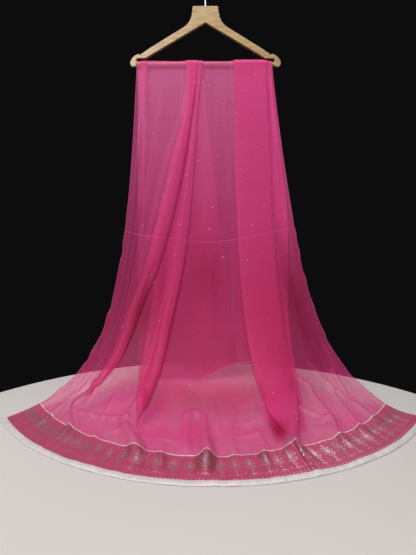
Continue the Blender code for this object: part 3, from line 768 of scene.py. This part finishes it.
def build_front():
    rows = np.unique(np.concatenate([np.linspace(*stretch) for stretch in FRONT_ROWS]))
    distances = [FRONT_LENGTH + (SEAM - FRONT_LENGTH) * row for row in rows]
    field = front_piece("chiffon_front", distances, PLACES, CHIFFON)
    shares = np.array([share_at(PLACES, d) for d in distances])
    mark_points(field, "gathers", gathered(PLACES, shares))
    mark_points(field, "shaded", shaded(PLACES, shares))
    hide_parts("field_front", "field_train")

    rows = np.linspace(SEAM - 0.002, BINDING_DEPTH - 0.001, BORDER_ROWS)
    border = front_piece("brocade_front", rows, PLACES, BROCADE)
    # Painted shade: how steep the border is across the cloth, which turns its ground dark brown on the ridges' sides.
    spots = np.array([v.co for v in border.data.vertices]).reshape(BORDER_ROWS, len(PLACES), 3)
    step = np.gradient(spots, PLACES, axis=1)
    slope = np.abs(step[..., 2]) / np.maximum(np.hypot(step[..., 0], step[..., 1]), 0.2)
    mark_points(border, "flank_shade", np.clip((slope - 0.12) / 0.5, 0.0, 1.0))
    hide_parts("border_front")
    rows = np.linspace(SEAM + 0.0004, SEAM - 0.0009, 4)
    braid = front_piece("braid_on_seam", rows, PLACES, BRAID, BRAID_LIFT)
    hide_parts("border_braid")

    # the binding wraps the hem: over the top, round the edge and back underneath
    over = [(BINDING_DEPTH * k / 5, 0.0010 + 0.0006 * math.sin(math.pi * k / 5)) for k in range(5, 0, -1)]
    round_edge = [(0.0008, 0.0009), (0.0, 0.0004), (0.0008, -0.0002)]
    under = [(BINDING_DEPTH * k / 3, -0.0003) for k in range(1, 4)]
    rows = over + round_edge + under
    level = np.zeros_like(PLACES)
    retreat = 0.0007 * (1.0 + noise(PLACES * 14, level, 43)) + 0.0004 * (1.0 + noise(PLACES * 60, level, 44))
    shares = np.array([share_at(PLACES, d + retreat * (1.0 - d / BINDING_DEPTH)) for d, _ in rows])
    height = np.array([[h] * len(PLACES) for _, h in rows])
    ruffle = 0.5 + 0.5 * noise(PLACES * 45, level, 41) + 0.4 * noise(PLACES * 120, level, 42)
    height += 0.0024 * np.maximum(0.0, height - 0.0004) / 0.0010 * ruffle
    points = front_grid(PLACES, shares, height)
    cut = cut_sizes(PLACES, np.array([[d] for d, _ in rows]))
    binding = grid_object("satin_binding_front", points, cut, SATIN)
    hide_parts("hem_binding_front")
    return field, border, braid, binding


def back_hem_height(across):
    return 0.004 + 0.048 / (1.0 + np.exp(-8.0 * (across - 0.20)))


def back_grid(places, shares):
    across, layers = folded(places, np.zeros_like(shares))
    lower = np.interp(places, MARKS, BACK_PLACES)
    across = across + (lower - across) * (shares * shares * (3 - 2 * shares)) ** 0.7
    drop = (BAR_HEIGHT - back_hem_height(across)) * shares
    room = LAYER_ROOM[0] + 0.0009 * shares
    x = ON_BAR_CENTRE_X + ON_BAR_HALF_WIDTH * across * (1.0 + (BACK_SPREAD - 1.0) * shares)
    soft = 0.0030 * shares * noise(places * 18 + 0 * shares, shares * 3, 21)
    soft += 0.0006 * noise(places * 55 + 0 * shares, shares * 8, 22) * np.minimum(1, shares * 8)
    for middle, width, height in ((-0.026, 0.013, 0.012), (0.012, 0.010, 0.006), (-0.105, 0.012, 0.008)):
        soft -= height * bump(x - middle, width) * np.clip((shares - 0.35) / 0.3, 0.0, 1.0)
    y = ON_BAR_RADIUS + UNDERSIDE + layers * room + BACK_LEAN * shares ** 2 + np.maximum(soft, -0.012)
    return np.stack([x, y, BAR_Z - drop], axis=-1)


def build_over_bar():
    turns = np.linspace(0.0, 1.0, OVER_BAR_ROWS)[:, None] * np.ones(len(PLACES))
    across, layers = folded(PLACES, np.zeros_like(turns))
    angle = math.pi * turns
    room = LAYER_ROOM[0] * (1.0 + 0.22 * noise(0 * layers, layers * 1.7, 8))
    radius = ON_BAR_RADIUS + UNDERSIDE + layers * room
    x = ON_BAR_CENTRE_X + ON_BAR_HALF_WIDTH * across
    points = np.stack([x, -radius * np.cos(angle), BAR_Z + radius * np.sin(angle)], axis=-1)
    cut = cut_sizes(PLACES, FRONT_LENGTH + turns * OVER_BAR_LENGTH)
    sheet = grid_object("chiffon_over_bar", points, cut, CHIFFON)
    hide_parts("field_over_bar")
    return sheet


def build_back():
    rows = np.linspace(0.0, 1.0, BACK_ROWS)
    shares = (rows * BACK_END)[:, None] * np.ones(len(PLACES))
    field = grid_object("chiffon_back", back_grid(PLACES, shares)[:, ::-1],
                        cut_sizes(PLACES, shares * BAR_HEIGHT)[:, ::-1], BACK_CHIFFON)
    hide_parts("field_back")
    shares = np.linspace(BACK_END - 0.001, 1.0, 5)[:, None] * np.ones(len(PLACES))
    points = back_grid(PLACES, shares)
    points[..., 1] += 0.0004
    cut = cut_sizes(PLACES, shares * BAR_HEIGHT)
    binding = grid_object("binding_back", points[:, ::-1], cut[:, ::-1], BACK_TRIM)
    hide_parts("hem_binding_back")
    return field, binding


def tube(name, path, radius, material, sides=6):
    """A thin roll along a path of points."""
    path = np.asarray(path)
    along = np.gradient(path, axis=0)
    along /= np.linalg.norm(along, axis=1)[:, None]
    first = np.cross(along, (0.0, 1.0, 0.2))
    first /= np.linalg.norm(first, axis=1)[:, None]
    second = np.cross(along, first)
    angles = np.linspace(0.0, 2 * math.pi, sides + 1)
    points = path[:, None, :] + radius * (np.cos(angles)[None, :, None] * first[:, None, :]
                                          + np.sin(angles)[None, :, None] * second[:, None, :])
    cut = np.stack(np.meshgrid(angles * radius, np.arange(len(path)) * 0.004), axis=-1)
    return grid_object(name, points, cut, material)


def build_selvedges():
    rolls = []
    rows = np.linspace(0.0, 1.0, ROLL_ROWS)
    for name, place in (("left", 0.0008), ("right", CUT_WIDTH - 0.0008)):
        places = np.array([place])
        shares = rows[:, None] * share_at(places, BINDING_DEPTH)
        path = front_grid(places, shares)[:, 0]
        rolls.append(tube("rolled_selvedge_front_" + name, path, ROLL_RADIUS, ROLLED))
        path = back_grid(places, (rows * BACK_END)[:, None])[:, 0]
        rolls.append(tube("rolled_selvedge_back_" + name, path, ROLL_RADIUS, ROLLED))
    return rolls


def petal(points, faces, centre, direction, length, width, curl=0.0, tip=0.5):
    """A leaf in the cut's own plane: (metres along the hem, metres up), bent by curl."""
    count = 5
    first = len(points)
    for k in range(count + 1):
        t = k / count
        turn = direction + curl * t
        x = centre[0] + length * t * math.cos(direction + curl * t / 2)
        y = centre[1] + length * t * math.sin(direction + curl * t / 2)
        half = width / 2 * math.sin(math.pi * min(1.0, 0.08 + 0.92 * t ** tip)) + 0.00012
        points.append((x - half * math.sin(turn), y + half * math.cos(turn)))
        points.append((x + half * math.sin(turn), y - half * math.cos(turn)))
    for k in range(count):
        a = first + 2 * k
        faces.append((a, a + 1, a + 3, a + 2))


# The flower's fronds: place on the stem, angle from it, length and width. Its spots: place on the stem, how far
# out, angle. All but the angles are shares of the flower's size.
FRONDS = ((0.34, 1.20, 0.26, 0.020), (0.40, 0.95, 0.34, 0.022), (0.50, 0.80, 0.32, 0.022),
          (0.60, 0.66, 0.27, 0.020), (0.44, 0.40, 0.56, 0.020), (0.74, 0.50, 0.20, 0.020))
SPOTS = ((0.46, 0.19, 0.9), (0.62, 0.20, 0.6), (0.76, 0.14, 0.4))


def buta(points, faces, x, y, size, lean, hand):
    """A leafy flower of thin woven lines on a short stem: nested fronds on both sides round a long bud."""
    up = math.pi / 2 + lean

    def on_stem(where):
        return (x + where * size * math.cos(up), y + where * size * math.sin(up))

    petal(points, faces, (x, y), up + 0.10 * hand, 0.42 * size, 0.022 * size, -0.2 * hand)
    petal(points, faces, on_stem(0.52), up, 0.26 * size, 0.075 * size)
    for side in (-1, 1):
        for where, angle, length, width in FRONDS:
            petal(points, faces, on_stem(where), up + side * angle, length * size, width * size, -side * 0.9)
        for where, out, angle in SPOTS:
            foot = on_stem(where)
            petal(points, faces, (foot[0] + side * out * size, foot[1]), up + side * angle, 0.09 * size, 0.034 * size)
        petal(points, faces, on_stem(0.10), up + side * 1.1, 0.17 * size, 0.024 * size, side * 1.8)
        petal(points, faces, on_stem(0.22), up + side * 1.2, 0.12 * size, 0.022 * size, -side * 1.6)
    petal(points, faces, on_stem(0.88), up + 0.5 * hand, 0.14 * size, 0.028 * size, 1.5 * hand)


def build_motifs():
    """Woven silver motifs of the border, laid on the brocade: flowers in a row, and a row of short dashes."""
    points, faces = [], []
    pitch = CUT_WIDTH / FLOWERS
    chance = np.random.RandomState(7)
    for k in range(FLOWERS):
        x = (k + 0.5) * pitch
        hand = 0 if k % 2 else (1 if x > CUT_WIDTH / 2 else -1)
        buta(points, faces, x, BINDING_DEPTH + 0.010, 0.057 if k % 2 else 0.060, 0.07 * chance.uniform(-1, 1), hand)
        petal(points, faces, (x + pitch / 2, BINDING_DEPTH + 0.016), math.pi / 2, 0.0055, 0.0014)
        petal(points, faces, (x + pitch / 2, BINDING_DEPTH + 0.066), math.pi / 2, 0.0050, 0.0014)
    for k in range(DASHES):
        x = (k + 0.5) * CUT_WIDTH / DASHES
        petal(points, faces, (x, BINDING_DEPTH + 0.0030), math.pi / 2, 0.0054, 0.0015)
    flat = np.array(points)
    flat[:, 0] = np.clip(flat[:, 0], 0.002, CUT_WIDTH - 0.002)
    order = np.argsort(flat[:, 0], kind="stable")
    shares = share_at(flat[order, 0], flat[order, 1])[None, :]
    placed = np.empty((len(flat), 3))
    placed[order] = front_grid(flat[order, 0], shares, MOTIF_LIFT)[0]
    mesh = bpy.data.meshes.new("zari_motifs")
    mesh.from_pydata([tuple(p) for p in placed], [], faces)
    thing = add_object("zari_motifs", mesh, ZARI)
    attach(thing, "root")
    return thing


def build_beads():
    """Small silver beads on the layer that shows."""
    points, faces = [], []
    place = np.linspace(0.0, CUT_WIDTH, 3001)
    for across, share in BEADS:
        at, layers = folded(place, np.full((1, len(place)), share))
        near = np.abs(at[0] - across) < 0.02
        column = int(np.argmax(np.where(near, layers[0], -1.0)))
        centre = front_grid(place[column:column + 1], np.array([[share]]), BEAD_LIFT)[0, 0]
        first = len(points)
        for i, j, k in ((1, 0, 0), (-1, 0, 0), (0, 1, 0), (0, -1, 0), (0, 0, 1), (0, 0, -1)):
            points.append(tuple(centre + BEAD_RADIUS * np.array((i, j, k))))
        for a, b, c in ((0, 2, 4), (2, 1, 4), (1, 3, 4), (3, 0, 4), (2, 0, 5), (1, 2, 5), (3, 1, 5), (0, 3, 5)):
            faces.append((first + a, first + b, first + c))
    mesh = bpy.data.meshes.new("beads")
    mesh.from_pydata(points, [], faces)
    thing = add_object("beads", mesh, BEAD)
    smooth = thing.modifiers.new("round", "SUBSURF")
    smooth.levels = smooth.render_levels = 1
    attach(thing, "root")
    return thing


# ---------------------------------------------------------------- studio
def studio():
    scene = bpy.context.scene
    world = bpy.data.worlds.new("studio") if scene.world is None else scene.world
    scene.world = world
    world.use_nodes = True
    back = world.node_tree.nodes.get("Background") or world.node_tree.nodes.new("ShaderNodeBackground")
    back.inputs["Color"].default_value = (0.0040, 0.0040, 0.0045, 1.0)
    back.inputs["Strength"].default_value = 1.0

    floor = bpy.data.meshes.new("floor")
    count = 96
    angles = [2 * math.pi * k / count for k in range(count)]
    ring = [(0.68 * math.cos(a), -0.45 + 0.626 * math.sin(a), FLOOR_Z - 0.0002) for a in angles]
    floor.from_pydata(ring, [], [tuple(range(count))])
    pale = plain("floor_pale", (0.525, 0.51, 0.485), 0.9)
    floor.materials.append(pale)
    ground = bpy.data.objects.new("floor", floor)
    scene.collection.objects.link(ground)

    def area(name, place, aim, size, power, colour=(1.0, 1.0, 1.0)):
        lamp = bpy.data.lights.new(name, "AREA")
        lamp.shape = "SQUARE"
        lamp.size = size
        lamp.energy = power
        lamp.color = colour
        thing = bpy.data.objects.new(name, lamp)
        scene.collection.objects.link(thing)
        thing.location = place
        way = np.array(aim, float) - np.array(place, float)
        thing.rotation_euler = Vector(way).to_track_quat("-Z", "Y").to_euler()

    area("key", (-0.85, -1.45, 0.50), (0.0, 0.0, -0.35), 1.1, 42.0, (1.0, 0.985, 0.98))
    area("fill", (1.3, -2.0, -0.1), (0.0, 0.0, -0.7), 1.4, 17.0, (1.0, 0.98, 1.0))
    area("rim", (0.7, 2.0, 1.1), (0.0, 0.0, -0.6), 1.4, 17.0, (1.0, 0.98, 1.0))
    area("top", (0.0, -0.6, 1.0), (0.0, -0.1, -0.4), 0.8, 16.0, (0.98, 0.97, 0.99))

    lens = bpy.data.cameras.new("camera")
    lens.sensor_fit = "VERTICAL"
    lens.sensor_height = 36.0
    lens.lens = 27.05
    lens.clip_start = 0.05
    eye = bpy.data.objects.new("camera", lens)
    scene.collection.objects.link(eye)
    eye.location = (0.0063, -1.1115, FLOOR_Z + 0.4311)
    eye.rotation_euler = (math.radians(83.0), 0.0, 0.0)
    scene.camera = eye
    scene.view_settings.view_transform = "Standard"
    scene.cycles.transparent_max_bounces = 40


def main():
    dress_hanger()
    field, border, braid, binding = build_front()
    over_bar = build_over_bar()
    back, back_binding = build_back()
    rolls = build_selvedges()
    motifs = build_motifs()
    beads = build_beads()
    studio()


main()
